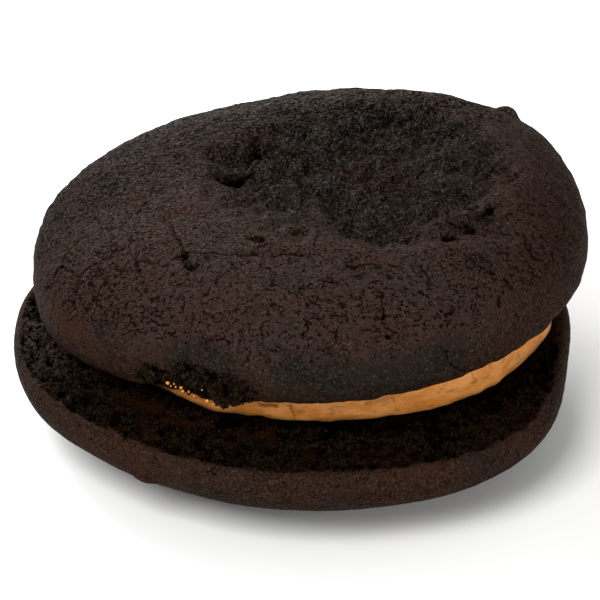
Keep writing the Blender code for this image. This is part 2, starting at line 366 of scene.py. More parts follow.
def alongPath(points, normals, path, reach):
    # Distance to a path, distance to one side of it, and how much of the path is there, up to reach.
    distance = np.full(len(points), reach)
    aside = np.full(len(points), reach)
    there = np.zeros(len(points))
    low, high = path.min(axis=0) - reach, path.max(axis=0) + reach
    close = np.nonzero(np.all((points > low) & (points < high), axis=1))[0]
    spots, facing = points[close], normals[close]
    for index, (start, end) in enumerate(zip(path[:-1], path[1:])):
        along = end - start
        length = np.linalg.norm(along)
        step = (spots - start) @ along / length
        gap = np.linalg.norm(spots - start - np.clip(step, 0, length)[:, None] * along / length, axis=1)
        side = np.einsum("ij,ij->i", np.cross(along / length, facing), spots - start)
        before = -step if index == 0 else np.zeros(len(spots))
        after = step - length if index == len(path) - 2 else np.zeros(len(spots))
        nearer = gap < distance[close]
        chosen = close[nearer]
        distance[chosen] = gap[nearer]
        aside[chosen] = side[nearer]
        there[chosen] = 1 - smoothStep(np.maximum(before, after)[nearer], 0, 0.0003)
    return distance, aside, there * (1 - smoothStep(distance, 0.4 * reach, 0.9 * reach))


def pathOn(onto, pixels):
    return np.array([onto(px, py) for px, py in pixels])


def painted(points, normals, stains, onto, brush):
    # How strongly stains, each with a strength, a radius and a path of pixels, cover the points.
    share = np.zeros(len(points))
    ragged = drift(points, *brush["drift"])
    for strength, radius, pixels in stains.values():
        away = alongPath(ragged, normals, pathOn(onto, pixels), 1.6 * radius)[0] / radius
        share = np.maximum(share, strength * (1 - smoothStep(away, 0.9 - brush["soft"], 0.9 + brush["soft"])))
    return share


stainBrush = {"soft": 0.6, "drift": ((0.003, 0.001), (0.0009, 0.0004))}
openBrush = {"soft": 0.7, "drift": ((0.0022, 0.0007), (0.0008, 0.0005))}
creamBrush = {"soft": 0.5, "drift": ((0.0012, 0.00025),)}

# Open crumb: lumps with crevices between them, and deeper pores.
crumb = {
    "cell": 0.0013,
    "cellHeight": 0.0004,
    "cellDrift": (0.0009, 0.0003),
    "lump": 0.0026,
    "lumpHeight": 0.0005,
    "pore": 0.0017,
    "poreDepth": 0.0009,
}


def crumbRelief(points, where):
    # Height of the crumb, and how deep each point lies in it, which is painted as shade in the crevices and
    # pores; worked out only where it shows.
    height = np.zeros(len(points))
    depth = np.zeros(len(points))
    there = np.nonzero(where > 0.01)[0]
    spots = points[there]
    cells = (drift(spots, crumb["cellDrift"]) / crumb["cell"]).tolist()
    near = np.array([noise.voronoi(cell)[0][:2] for cell in cells])
    crevice = 1 - np.clip((near[:, 1] - near[:, 0]) / 0.4, 0, 1)
    pore = smoothStep(noiseAt(spots, crumb["pore"], 31), 0.1, 0.38)
    swell = bumpy(spots, (1, crumb["lump"], 0), (0.6, crumb["lump"] / 2.3, 0))
    raised = crumb["cellHeight"] * (0.4 - crevice) + crumb["lumpHeight"] * swell - crumb["poreDepth"] * pore
    height[there] = raised * where[there]
    depth[there] = np.clip(0.5 * crevice + pore - 0.5 * swell, 0, 1) * where[there]
    return height, depth


# Materials. The helpers find the node tree by the sockets that they are given.
def addNode(tree, kind, settings=None, **inputs):
    # An input named i0, i1 and so on is set by its number.
    item = tree.nodes.new("ShaderNode" + kind)
    for name, value in (settings or {}).items():
        setattr(item, name, value)
    for name, value in inputs.items():
        socket = item.inputs[int(name[1:])] if name[0] == "i" and name[1:].isdigit() else item.inputs[name]
        if isinstance(value, bpy.types.NodeSocket):
            tree.links.new(value, socket)
        else:
            socket.default_value = value
    return item


def newMaterial(name):
    material = bpy.data.materials.new(name)
    material.use_nodes = True
    tree = material.node_tree
    return material, tree, tree.nodes["Principled BSDF"], addNode(tree, "TexCoord").outputs["Object"]


def treeOf(*values):
    return next(value.id_data for value in values if isinstance(value, bpy.types.NodeSocket))


def calculate(operation, first, second=0.0):
    return addNode(treeOf(first, second), "Math", {"operation": operation}, i0=first, i1=second).outputs[0]


def plus(first, second):
    return calculate("ADD", first, second)


def minus(first, second):
    return calculate("SUBTRACT", first, second)


def times(first, second):
    return calculate("MULTIPLY", first, second)


def larger(first, second):
    return calculate("MAXIMUM", first, second)


def ramp(value, low, high, fromValue=0.0, toValue=1.0):
    smooth = {"interpolation_type": "SMOOTHSTEP"}
    item = addNode(treeOf(value), "MapRange", smooth, i0=value, i1=low, i2=high, i3=fromValue, i4=toValue)
    return item.outputs[0]


def mixColour(share, first, second, blend="MIX"):
    settings = {"data_type": "RGBA", "blend_type": blend}
    return addNode(treeOf(share, first, second), "Mix", settings, i0=share, i6=first, i7=second).outputs[2]


def shaded(colour, shade):
    grey = addNode(treeOf(shade), "CombineColor", None, Red=shade, Green=shade, Blue=shade).outputs[0]
    return mixColour(1.0, colour, grey, "MULTIPLY")


def markValue(tree, name):
    return addNode(tree, "Attribute", {"attribute_name": name}).outputs["Fac"]


def mapped(coords, **change):
    return addNode(treeOf(coords), "Mapping", None, Vector=coords, **change).outputs[0]


def speckle(coords, size, detail=2.0, roughness=0.5):
    inputs = {"Scale": 1 / size, "Detail": detail, "Roughness": roughness}
    return addNode(treeOf(coords), "TexNoise", None, Vector=coords, **inputs).outputs[0]


def warped(coords, size, reach):
    tree = treeOf(coords)
    moves = addNode(tree, "TexNoise", None, Vector=coords, Scale=1 / size, Detail=2.0).outputs[1]
    centred = addNode(tree, "VectorMath", {"operation": "SUBTRACT"}, i0=moves, i1=(0.5, 0.5, 0.5)).outputs[0]
    scaled = addNode(tree, "VectorMath", {"operation": "SCALE"}, i0=centred, Scale=2 * reach).outputs[0]
    return addNode(tree, "VectorMath", {"operation": "ADD"}, i0=coords, i1=scaled).outputs[0]


def dashes(coords, cell, width, keep, whole):
    # Short tapering pieces of the borders between cells.
    wandering = warped(coords, cell * 0.8, cell * 0.3)
    edges = {"feature": "DISTANCE_TO_EDGE"}
    borders = addNode(treeOf(coords), "TexVoronoi", edges, Vector=wandering, Scale=1 / cell).outputs[0]
    pieces = minus(speckle(coords, cell * 0.6, 1.0), times(whole, 0.12))
    gap = times(borders, ramp(whole, -0.4, 0.0, 0.5 * cell / width, cell / width))
    return ramp(minus(ramp(pieces, keep, keep + 0.12), gap), 0.0, 0.45)


def pinholes(coords, spacing, radius):
    tree = treeOf(coords)
    cells = addNode(tree, "TexVoronoi", None, Vector=coords, Scale=1 / spacing)
    hole = ramp(cells.outputs[0], 0.4 * radius / spacing, 1.3 * radius / spacing, 1.0, 0.0)
    kept = addNode(tree, "SeparateColor", None, Color=cells.outputs[1]).outputs[0]
    return times(hole, ramp(kept, 0.45, 0.75))


def finishShader(shader, colour, roughness, specular, height, relief, strength=1.0):
    tree = shader.id_data
    bump = addNode(tree, "Bump", None, Strength=strength, Distance=relief, Height=height).outputs[0]
    for socket, value in (("Base Color", colour), ("Roughness", roughness), ("Normal", bump)):
        tree.links.new(value, shader.inputs[socket])
    shader.inputs["Specular IOR Level"].default_value = specular


crust = {
    "base": (0.0275, 0.0155, 0.0118, 1),
    "red": (0.0285, 0.0152, 0.0114, 1),
    "grey": (0.024, 0.0168, 0.0135, 1),
    # grey patches of the crust's own, also used as painted shade
    "ashAndShade": (0.0105, 0.0092, 0.0074, 1),
    "rust": (0.027, 0.0105, 0.0055, 1),
    "brown": (0.0185, 0.009, 0.0054, 1),
    # sunken middle: a greyer tone, painted darker as shade in its rough hollows
    "sunkenToneAndShade": (0.0205, 0.016, 0.0124, 1),
    # pale: painted sheen on the far rim, where the back light grazes the crust
    "pale": (0.047, 0.0385, 0.0315, 1),
    # painted highlight: the colour of the glints on the grains
    "paintedGlint": (0.15, 0.135, 0.115, 1),
    "dark": (0.005, 0.0016, 0.0004, 1),
    "crumb": (0.008, 0.0036, 0.0017, 1),
    "crumbLit": (0.042, 0.032, 0.0235, 1),
    "crumbBrown": (0.012, 0.0038, 0.0009, 1),
    "crumbDark": (0.0006, 0.0002, 0.0001, 1),
    "specular": 0.01,
    # each kind of fine crack: size of its cells, width, share left out
    "cracks": ((0.003, 0.00015, 0.55), (0.0017, 0.00012, 0.53), (0.001, 0.00011, 0.52)),
    "crackStretch": (0.9, 1.05, 1.1),
    "namedWidth": 0.00022,
    # each kind of pinhole: spacing, radius
    "pinholes": ((0.0007, 0.00014), (0.0016, 0.00021)),
    # sizes of the patterns
    "tint": 0.014,
    "coolTint": 0.01,
    "brownPatch": 0.0065,
    "patch": 0.005,
    "grain": 0.0012,
    "pepper": 0.0008,
    "bead": 0.00075,
    "fineGrain": 0.00042,
    # size of the painted highlight specks
    "paintedSparkle": 0.0004,
    "grainShadeStrength": (0.42, 0.95),      # on plain crust and on the grainy part
    "grainHeight": (0.06, 0.36),
    # share of the painted highlight specks, on plain crust and on the grainy part
    "paintedGlints": (0.15, 0.65),
    "crackDepth": -0.18,
    "relief": 0.001,        # one unit of the finish's height, in metres
}


def crackLines(tree, coords):
    # The named cracks, then short fine ones and pinholes.
    wobble = times(minus(speckle(coords, 0.0007), 0.5), 1.2)
    aside = calculate("ABSOLUTE", plus(markValue(tree, "crackSide"), wobble))
    aside = times(aside, ramp(speckle(coords, 0.002), 0.38, 0.62, 1.9, 0.65))
    width = crust["namedWidth"] * 1000
    lines = times(ramp(aside, 0.3 * width, width, 1.0, 0.0), markValue(tree, "crackNear"))
    lines = times(lines, ramp(speckle(coords, 0.0009), 0.3, 0.44))
    lying = mapped(coords, Scale=crust["crackStretch"])
    for cell, lineWidth, keep in crust["cracks"]:
        lines = larger(lines, dashes(lying, cell, lineWidth, keep, markValue(tree, "whole")))
    for spacing, radius in crust["pinholes"]:
        lines = larger(lines, pinholes(coords, spacing, radius))
    return lines


def crumbPaint(tree, coords, grain, fineGrain):
    # Grains from dark to lit, with smooth brown patches and a few pale sparks of painted highlight.
    colour = mixColour(markValue(tree, "lit"), crust["crumb"], crust["crumbLit"])
    colour = mixColour(ramp(grain, 0.4, 0.56), crust["crumbDark"], colour)
    colour = shaded(colour, ramp(fineGrain, 0.38, 0.62, 0.15, 1.95))
    brown = times(ramp(speckle(coords, crust["brownPatch"], 3.0, 0.6), 0.53, 0.6), 0.5)
    brown = larger(brown, markValue(tree, "rust"))
    smoothBrown = shaded(crust["crumbBrown"], ramp(fineGrain, 0.38, 0.62, 0.65, 1.25))
    colour = mixColour(brown, colour, smoothBrown)
    paintedSparkles = speckle(mapped(coords, Location=(0.5, 0.1, 0.3)), crust["paintedSparkle"], 1.0)
    return mixColour(ramp(paintedSparkles, 0.62, 0.72, 0.0, 0.22), colour, crust["crumbLit"])


def crustMaterial(name):
    material, tree, shader, coords = newMaterial(name)
    peppered = times(minus(speckle(coords, crust["pepper"], 3.0, 0.7), 0.5), 2.0)
    opened = ramp(plus(markValue(tree, "crumbShare"), peppered), 0.42, 0.58)
    lines = times(crackLines(tree, coords), minus(1.0, opened))
    grainy = markValue(tree, "grainy")
    # Broad tints, then the stains with the painted shade and sheen among them, then grain by grain with
    # painted shade and highlight.
    colour = mixColour(ramp(speckle(coords, crust["tint"], 3.0), 0.4, 0.6), crust["base"], crust["red"])
    cool = speckle(mapped(coords, Location=(0.3, 0.1, 0.2)), crust["coolTint"], 3.0)
    colour = mixColour(ramp(cool, 0.48, 0.64, 0.0, 0.6), colour, crust["grey"])
    for stain in ("brown", "pale", "sunkenToneAndShade", "ashAndShade", "rust"):
        colour = mixColour(markValue(tree, stain), colour, crust[stain])
    grain = speckle(coords, crust["grain"], 3.0, 0.6)
    fineGrain = speckle(coords, crust["fineGrain"], 2.0, 0.6)
    beads = addNode(tree, "TexVoronoi", None, Vector=warped(coords, 0.0008, 0.00014), Scale=1 / crust["bead"])
    beaded = times(ramp(beads.outputs[0], 0.15, 0.75, 1.0, -1.0), times(grainy, 0.5))
    light = times(ramp(grain, 0.38, 0.62, -1.0, 1.0), 0.35)
    light = plus(light, times(ramp(fineGrain, 0.38, 0.62, -1.0, 1.0), 0.65))
    light = plus(light, beaded)
    patches = ramp(speckle(mapped(coords, Location=(0.1, 0.2, 0.5)), crust["patch"]), 0.36, 0.64, 0.55, 1.35)
    strength = times(ramp(grainy, 0.0, 1.0, *crust["grainShadeStrength"]), patches)
    # Grain by grain, low places are painted darker and high places lighter: painted shade and highlight of
    # the relief that the bump also draws.
    colour = shaded(colour, larger(plus(1.0, times(light, strength)), 0.12))
    # Painted highlights: pale specks where the grains would catch the light, more on the grainy part.
    paintedGlints = ramp(speckle(mapped(coords, Location=(0.2, 0.4, 0.1)), crust["paintedSparkle"], 1.0), 0.6, 0.74)
    colour = mixColour(times(paintedGlints, ramp(grainy, 0.0, 1.0, *crust["paintedGlints"])), colour, crust["paintedGlint"])
    colour = mixColour(opened, colour, crumbPaint(tree, coords, grain, fineGrain))
    colour = mixColour(times(lines, 0.97), colour, crust["dark"])
    # Painted shade: darker in crevices, pores, cracks, creases and holes, and on the crumb face under the
    # upper cake.
    colour = mixColour(ramp(markValue(tree, "depth"), 0.1, 0.85, 0.0, 0.95), colour, crust["crumbDark"])
    rough = times(ramp(grainy, 0.0, 1.0, *crust["grainHeight"]), patches)
    height = plus(times(lines, crust["crackDepth"]), times(light, rough))
    roughness = ramp(fineGrain, 0.38, 0.62, 0.85, 0.5)
    finishShader(shader, colour, roughness, crust["specular"], height, crust["relief"])
    return material


cream = {
    "base": (0.59, 0.205, 0.032, 1),
    "pale": (0.74, 0.31, 0.076, 1),
    "stain": (0.27, 0.07, 0.004, 1),
    # painted shade at the foot of the filling, where its side curves under
    "footShade": (0.26, 0.11, 0.03, 1),
    "specular": 0.25,
    "patch": 0.0055,
    "spot": 0.0024,
    "grain": 0.00055,
    "relief": 0.00015,
}


def creamMaterial():
    material, tree, shader, coords = newMaterial("creamFilling")
    streaks = mapped(coords, Scale=(1.0, 1.0, 2.6))
    broad = speckle(streaks, cream["patch"], 3.0, 0.55)
    spots = speckle(streaks, cream["spot"])
    grain = speckle(coords, cream["grain"], 3.0, 0.6)
    colour = mixColour(ramp(broad, 0.38, 0.66), cream["base"], cream["pale"])
    colour = mixColour(ramp(spots, 0.56, 0.72, 0.0, 0.55), colour, cream["stain"])
    for stain in ("stain", "footShade"):
        colour = mixColour(markValue(tree, stain), colour, cream[stain])
    colour = shaded(colour, ramp(grain, 0.3, 0.7, 0.94, 1.06))
    shader.inputs["Subsurface Weight"].default_value = 0.06
    shader.inputs["Subsurface Radius"].default_value = (1.0, 0.55, 0.25)
    shader.inputs["Subsurface Scale"].default_value = 0.0012
    height = plus(spots, times(grain, 0.35))
    roughness = ramp(grain, 0.3, 0.7, 0.58, 0.46)
    finishShader(shader, colour, roughness, cream["specular"], height, cream["relief"], 0.8)
    return material


# Loose grains of crumb, one joined mesh for each place. Every grain is a small uneven lump of 20 faces.
grains = {
    "seed": 7,
    "sizes": (0.00016, 0.00042),
    "faceCount": 6000,
    "tornCount": 900,
    "tornLit": 0.2,
    "litAt": (187, 14),     # turn and spread of the paler crumb, at the left end
    "dark": (0.003, 0.0014, 0.0008, 1),
    "light": (0.011, 0.0054, 0.0028, 1),
    # painted highlight on the grains
    "paintedSparkle": (0.11, 0.085, 0.06, 1),
    "lit": (0.043, 0.033, 0.024, 1),
    "tone": 0.0009,
    "fineTone": 0.00022,
    "relief": 0.00012,
}


def grainMaterial():
    material, tree, shader, coords = newMaterial("crumbGrains")
    tone = speckle(coords, grains["tone"], 2.0, 0.6)
    fine = speckle(coords, grains["fineTone"], 2.0, 0.6)
    light = mixColour(markValue(tree, "lit"), grains["light"], grains["lit"])
    colour = mixColour(ramp(tone, 0.36, 0.64), grains["dark"], light)
    # Painted highlights: pale sparks on the grains.
    colour = mixColour(ramp(fine, 0.62, 0.74, 0.0, 0.5), colour, grains["paintedSparkle"])
    finishShader(shader, colour, ramp(fine, 0.3, 0.7, 0.85, 0.6), crust["specular"], fine, grains["relief"])
    return material


crustUpper = crustMaterial("upperCrust")
crustLower = crustMaterial("lowerCrust")
creamSurface = creamMaterial()
crumbGrains = grainMaterial()
print("materials ready")

# The upper cake: sunken wrinkled middle, torn patch low at the front left, cracks and pits in the crust.
hollow = {
    "centre": (0.01, -0.0005),
    "reach": (0.0235, 0.0265),
    "edge": ((0.16, 0.012, 0), (0.1, 0.004, 15)),
    "depth": 0.0009,
    "lip": 0.0003,
    "lumps": ((0.0013, 0.006, 0), (0.00065, 0.003, 0)),
    "wrinkles": 0.0025,
    "wrinkleSize": 0.0032,
    "wrinkleDrift": (0.005, 0.0012),
    # x, y, length, width, depth (below 0 is raised), turn
    "dents": (
        (-0.0085, 0.0062, 0.0062, 0.0024, 0.0019, -8),
        (-0.0112, -0.0015, 0.0045, 0.0026, 0.0013, 20),
        (0.001, 0.0046, 0.008, 0.002, 0.0009, -6),
        (0.0086, -0.002, 0.01, 0.0028, 0.0008, -58),
        (0.0272, -0.0212, 0.006, 0.003, 0.002, 22),
        (0.0205, -0.024, 0.005, 0.0024, 0.001, -4),
        (0.011, -0.024, 0.006, 0.0026, 0.0008, -12),
        (0.027, -0.01, 0.0045, 0.0022, 0.0009, 50),
        (0.016, 0.02, 0.009, 0.0026, 0.001, -10),
        (-0.0012, -0.0243, 0.0016, 0.0014, 0.001, 0),
        (0.004, -0.01, 0.008, 0.005, -0.0006, -50),
        (0.019, 0.0255, 0.0075, 0.003, -0.0009, -12),
        (-0.0125, 0.0225, 0.004, 0.0022, -0.0008, 30),
    ),
}
torn = {
    "turns": (-128.5, -101),
    "top": 0.0068,
    "depth": 0.0007,
    "drift": ((0.0045, 0.0016), (0.0012, 0.0006)),
    # crust that hangs over the cream: turn, half width, drop
    "nub": (-110.6, 0.0045, 0.0024),
    "nubEdge": ((0.00035, 0.003, 33), (0.00015, 0.0011, 34)),
}
# Creases in the sunken middle, as pixels of the photo: width and depth, then the path.
creases = {
    "deepHole": (0.0008, 0.0013, ((252, 153), (256, 154))),
    "mainFold": (0.00045, 0.0009, ((259, 155), (272, 156), (288, 155), (294, 152))),
    "foldOn": (0.0005, 0.0005, ((301, 154), (314, 157), (322, 163))),
    "leftFold": (0.0007, 0.0011, ((222, 178), (236, 180), (248, 172))),
    "underFold": (0.0004, 0.0005, ((273, 172), (285, 174), (296, 173), (302, 184))),
    "middleFold": (0.0004, 0.0004, ((293, 191), (306, 194), (318, 197))),
    "smallFold": (0.00035, 0.0004, ((274, 196), (284, 198))),
    "darkPit": (0.0005, 0.0007, ((297, 231), (305, 227))),
    "brownPit": (0.0005, 0.0007, ((252, 239), (262, 241))),
    "redFold": (0.00035, 0.0005, ((341, 230), (348, 234), (355, 237))),
    "lowFold": (0.00045, 0.0006, ((366, 236), (376, 244), (388, 245), (397, 241))),
    "backFold": (0.0006, 0.0006, ((386, 122), (402, 121), (416, 118))),
    "lumpFold": (0.00045, 0.0005, ((353, 137), (361, 140), (370, 136))),
    "rightHole": (0.0009, 0.0009, ((457, 221), (467, 224), (477, 222))),
    "rightHoleUp": (0.00065, 0.0007, ((478, 213), (489, 209))),
    "ledgeSpot": (0.00045, 0.0006, ((447, 238), (456, 237))),
    "rightFold": (0.00045, 0.0006, ((503, 182), (512, 181), (519, 174))),
    "upperLeft": (0.0004, 0.0005, ((228, 137), (234, 139))),
    "upperMiddle": (0.00045, 0.0006, ((249, 140), (256, 143))),
}
# Ledges in the crust: how far down the far side lies, how far that reaches, then the path.
ledges = {
    "front": (
        0.0006, 0.006,
        ((338, 235), (360, 240), (400, 243), (448, 243), (476, 235), (496, 222), (514, 208)),
    ),
    "fold": (0.0009, 0.003, ((330, 190), (320, 168), (300, 156), (276, 157), (258, 158))),
}
# Holes and cracks where the crumb under the crust shows: strength, radius, then the path.
openPatches = {
    "deepHole": (1, 0.0011, ((251, 152), (257, 155))),
    "leftFold": (1, 0.0011, ((222, 178), (236, 180), (248, 173))),
    "rightHole": (1, 0.001, ((458, 220), (467, 224), (477, 222))),
    "rightHoleUp": (1, 0.0008, ((480, 214), (492, 206))),
    "rightHoleTop": (1, 0.0006, ((466, 208), (475, 205))),
    "mainFold": (1, 0.0006, ((262, 155), (274, 156), (290, 155))),
    "brownPit": (1, 0.0007, ((253, 240), (261, 241))),
    "darkPit": (1, 0.0006, ((298, 231), (304, 228))),
    "forkFoot": (1, 0.0006, ((184, 252), (187, 260), (193, 268))),
    "ledgeSpot": (1, 0.0006, ((448, 238), (456, 237))),
    "upperMiddle": (1, 0.0007, ((249, 140), (256, 143))),
}
# Stains on the crust, written the same way. The grey ash patches are the crust's own; the ash on the low
# front band, where the crust faces down, and round the right holes is painted shade.
ashAndShadeStains = {
    "stripe": (0.85, 0.0016, ((311, 156), (317, 166), (326, 176), (335, 186), (341, 198))),
    "lowBand": (0.78, 0.0036, ((290, 376), (350, 380), (400, 376), (450, 354))),
    "aboveTorn": (0.7, 0.0024, ((172, 355), (200, 350), (222, 362))),
    "lowLeft": (0.55, 0.0024, ((103, 332), (112, 338))),
    "backFold": (0.6, 0.0022, ((388, 122), (416, 118))),
    "besideHole": (0.55, 0.0034, ((226, 150), (232, 172))),
    "rightCrack": (0.55, 0.0022, ((478, 260), (486, 262))),
    "rightHoles": (0.95, 0.0022, ((460, 224), (470, 219), (486, 212))),
}
rustStains = {
    "nodule": (0.85, 0.0018, ((500, 108), (512, 113))),
    "rightHoles": (0.75, 0.0007, ((455, 231), (461, 229))),
    "redMiddle": (0.4, 0.0042, ((345, 168), (392, 180))),
    "foldTop": (0.6, 0.0016, ((266, 149), (288, 150))),
    "fleckLeft": (0.85, 0.0011, ((130, 197), (145, 200))),
    "fleckRight": (0.9, 0.0009, ((165, 216), (178, 212))),
    "farFleck": (0.7, 0.001, ((222, 117), (232, 113))),
    "leftFoot": (0.45, 0.0026, ((64, 322), (80, 337))),
    "pitSide": (0.8, 0.0009, ((253, 240), (262, 241))),
    "lowFold": (0.55, 0.0012, ((342, 231), (352, 235))),
    "rightFold": (0.6, 0.001, ((504, 182), (518, 177))),
    "underFold": (0.45, 0.0016, ((256, 190), (262, 198))),
}
# Larger cracks, as paths of pixels, by the part of the crust that they are in.
crackPaths = {
    "fork": (
        ((170, 222), (178, 238), (184, 252), (187, 260), (193, 268)),
        ((184, 252), (176, 258)),
    ),
    "long": (
        ((191, 253), (208, 252), (226, 254), (240, 255), (254, 255), (262, 252), (270, 250)),
        ((263, 257), (274, 257), (284, 254), (290, 256), (303, 257)),
    ),
    "left": (
        ((66, 251), (64, 259), (61, 267)),
        ((66, 251), (76, 242), (88, 236)),
        ((61, 267), (73, 272), (78, 280)),
        ((107, 282), (101, 286), (97, 299), (93, 302), (91, 307), (86, 310), (82, 316)),
        ((90, 235), (101, 230), (112, 227)),
        ((84, 273), (94, 265), (109, 258), (118, 255)),
        ((103, 254), (113, 251), (122, 249), (126, 246)),
        ((57, 271), (52, 283), (45, 291)),
        ((80, 277), (78, 290), (73, 302)),
        ((101, 191), (106, 187), (111, 184)),
        ((128, 218), (137, 213), (145, 203)),
        ((137, 256), (137, 268), (142, 278)),
        ((77, 295), (75, 301), (73, 307)),
    ),
    "middle": (
        ((345, 266), (355, 268), (364, 265), (376, 263)),
        ((325, 282), (332, 284), (340, 282)),
        ((356, 275), (363, 273)),
    ),
    "front": (
        ((298, 288), (304, 285), (313, 284)),
        ((263, 291), (275, 289)),
        ((317, 299), (327, 299), (334, 303)),
        ((310, 318), (315, 318), (321, 319)),
        ((333, 317), (341, 316), (346, 317), (348, 322)),
        ((338, 329), (334, 342)),
        ((381, 300), (382, 307), (383, 322)),
    ),
    "right": (
        ((471, 257), (476, 264), (482, 268), (489, 272), (496, 275)),
        ((471, 257), (466, 265), (468, 270)),
        ((517, 233), (525, 239), (527, 248), (533, 258), (541, 260)),
        ((554, 198), (563, 203), (571, 210)),
        ((506, 233), (510, 236)),
        ((512, 269), (519, 272)),
        ((498, 297), (501, 306)),
        ((515, 311), (519, 317)),
        ((425, 272), (427, 281), (430, 290)),
    ),
    "low": (
        ((450, 365), (458, 366), (467, 374)),
        ((440, 345), (446, 352), (444, 362)),
        ((182, 312), (185, 298)),
        ((157, 317), (164, 317)),
        ((127, 333), (132, 331)),
    ),
}
crackSize = {
    "width": 0.00018,
    "depth": 0.0002,
    "reach": 0.0012,
    "drift": ((0.002, 0.00055), (0.0007, 0.00022)),
}
# Pits: pixel x, y, radius, depth.
pits = (
    (61, 267, 0.00045, 0.0006), (97, 329, 0.0003, 0.0005), (388, 339, 0.00045, 0.0007),
    (383, 316, 0.00035, 0.0005), (403, 326, 0.00028, 0.0004), (557, 237, 0.0004, 0.0006),
    (384, 377, 0.00025, 0.0004), (302, 334, 0.00045, 0.0005), (346, 269, 0.00035, 0.0004),
    (58, 308, 0.0002, 0.0003), (107, 320, 0.00022, 0.0003), (118, 308, 0.0002, 0.0003),
    (146, 202, 0.0003, 0.0005), (163, 220, 0.0003, 0.0005), (184, 208, 0.00025, 0.0004),
    (461, 226, 0.0003, 0.0005), (466, 217, 0.00028, 0.0005), (472, 228, 0.00028, 0.0004),
    (475, 217, 0.0003, 0.0006), (481, 222, 0.0003, 0.0005), (485, 214, 0.00025, 0.0004),
    (471, 211, 0.00025, 0.0004),
)
upperEdges = {
    "front": 0.0008,
    "back": 0.0011,
    "backFrom": 0.015,
    "base": 0.004,
    "hollow": 0.00052,
    "hollowReach": 0.024,
    "torn": 0.00036,
    "crack": 0.00045,
    "crease": 0.0003,
    "beside": 0.0003,       # how far beside a crack or crease the short edges go
}
upperSkin = {
    "pimples": ((1, 0.0009, 3), (0.8, 0.0017, 2)),
    "pimpleHeight": (0.00006, 0.00022),     # on plain crust and on the grainy part
    "uneven": ((0.00022, 0.005, 18), (0.00012, 0.0024, 19)),
}


def ontoUpper(px, py):
    # The place on the sunken upper cake, in its own frame, that shows at a pixel.
    points = placedBy(upperPose().inverted(), photoRay(px, py))
    edge, thickness, roundness = upperCake["edgeHeight"], upperCake["thickness"], upperCake["roundness"]
    out = np.clip(outOf(points) / upperCake["radius"] / outline(turnOf(points), upperCake["waves"]), 0, 1)
    top = edge + (thickness - edge) * (1 - out ** roundness) ** (1 / roundness)
    sink = 0
    for _ in range(3):
        hit = points[np.argmax((out < 1) & (points[:, 2] < top - sink))]
        sink = max(hollowDepth(hit[None])[0][0], 0) * smoothStep(hit[2], edge, 0.6 * thickness)
    return hit + (0, 0, sink)


def tornShare(points):
    wandering = drift(points, *torn["drift"])
    turn = np.degrees(turnOf(wandering))
    start, end = torn["turns"]
    sideways = smoothStep(turn, start - 1, start + 4) * (1 - smoothStep(turn, end - 4, end + 1))
    arch = np.sin(np.clip((turn - start) / (end - start), 0, 1) * math.pi) ** 0.6
    top = torn["top"] * (0.6 + 0.4 * arch)
    return sideways * (1 - smoothStep(wandering[:, 2], top - 0.003, top + 0.0014))


def tornNub(points):
    radius = upperCake["radius"]
    turn, halfWidth, drop = torn["nub"]
    sideways = (turnOf(points) - math.radians(turn)) * radius / halfWidth
    outward = smoothStep(outOf(points), radius - 0.0045, radius - 0.002)
    low = 1 - smoothStep(points[:, 2], 0.001, upperCake["edgeHeight"])
    return (drop * np.exp(-sideways ** 4) + bumpy(points, *torn["nubEdge"])) * outward * low


def dentDepth(points, dent):
    x, y, length, width, depth, turn = dent
    angle = math.radians(turn)
    along = (points[:, 0] - x) * math.cos(angle) + (points[:, 1] - y) * math.sin(angle)
    across = (points[:, 1] - y) * math.cos(angle) - (points[:, 0] - x) * math.sin(angle)
    return depth * bell(along / length) * bell(across / width)


def hollowDepth(points):
    # Depth of the sunken middle, and the share of it at each point.
    away = outOf((points - (*hollow["centre"], 0)) / (*hollow["reach"], 1)) + bumpy(points, *hollow["edge"])
    inside = 1 - smoothStep(away, 0.7, 1.1)
    dents = sum(dentDepth(points, dent) for dent in hollow["dents"])
    lip = hollow["lip"] * bell((away - 1.12) / 0.09)
    return inside * (hollow["depth"] - bumpy(points, *hollow["lumps"])) + dents - lip, inside


def wrinkleRelief(points, rough):
    # Height of the wrinkles, and the painted shade in the bottoms of their folds.
    flow = drift(points * (0.85, 1.0, 1.0), hollow["wrinkleDrift"])
    broad = np.abs(noiseAt(flow, hollow["wrinkleSize"], 5))
    fine = np.abs(noiseAt(flow, hollow["wrinkleSize"] / 2.2, 9))
    dark = 0.3 * (1 - smoothStep(broad, 0.01, 0.09)) + 0.22 * (1 - smoothStep(fine, 0.01, 0.12))
    return hollow["wrinkles"] * (broad + 0.5 * fine - 0.55) * rough, dark * rough


def crackMarks(points, normals, paths):
    # How far each point lies to the side of the nearest crack, and how near it is.
    distance = np.full(len(points), crackSize["reach"])
    aside = distance
    there = np.zeros(len(points))
    for path in paths:
        gap, side, near = alongPath(points, normals, path, crackSize["reach"])
        nearer = gap < distance
        distance = np.where(nearer, gap, distance)
        aside = np.where(nearer, side, aside)
        there = np.where(nearer, near, there)
    return aside, there


def ledgeDrop(points, normals):
    dropped = np.zeros(len(points))
    for depth, reach, pixels in ledges.values():
        gap, side, near = alongPath(points, normals, pathOn(ontoUpper, pixels), 2.5 * reach)
        far = smoothStep(-side, -0.0002, 0.0008) * np.exp(-gap / reach) * near
        dropped = np.maximum(dropped, depth * far)
    return dropped


